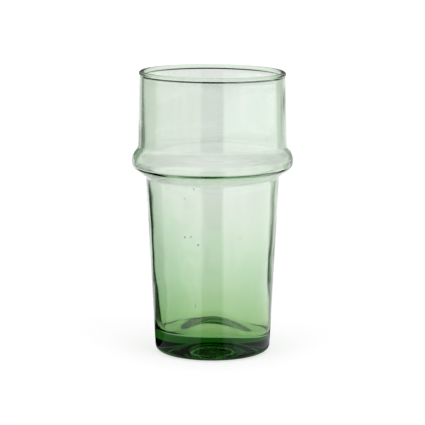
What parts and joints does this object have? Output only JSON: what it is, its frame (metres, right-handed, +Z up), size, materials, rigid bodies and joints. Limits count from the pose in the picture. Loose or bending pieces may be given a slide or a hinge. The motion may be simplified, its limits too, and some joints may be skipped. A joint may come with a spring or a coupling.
{
  "type": "water glass",
  "caption": "Tapered water glass with a hollow ring round its shoulder, a nearly straight cup above it and a heavy pushed-up base.",
  "frame": {"origin": "centre of the foot, on the plane it stands on", "axes": "+Z up along the axis of the glass, out of its mouth; X and Y are any two level directions, as the glass is round"},
  "size_m": [0.0742, 0.0742, 0.1307],
  "materials": {
    "green_glass": "clear, fire-polished"
  },
  "bodies": {
    "root": {"tumbler": "green_glass"}
  },
  "joints": []
}
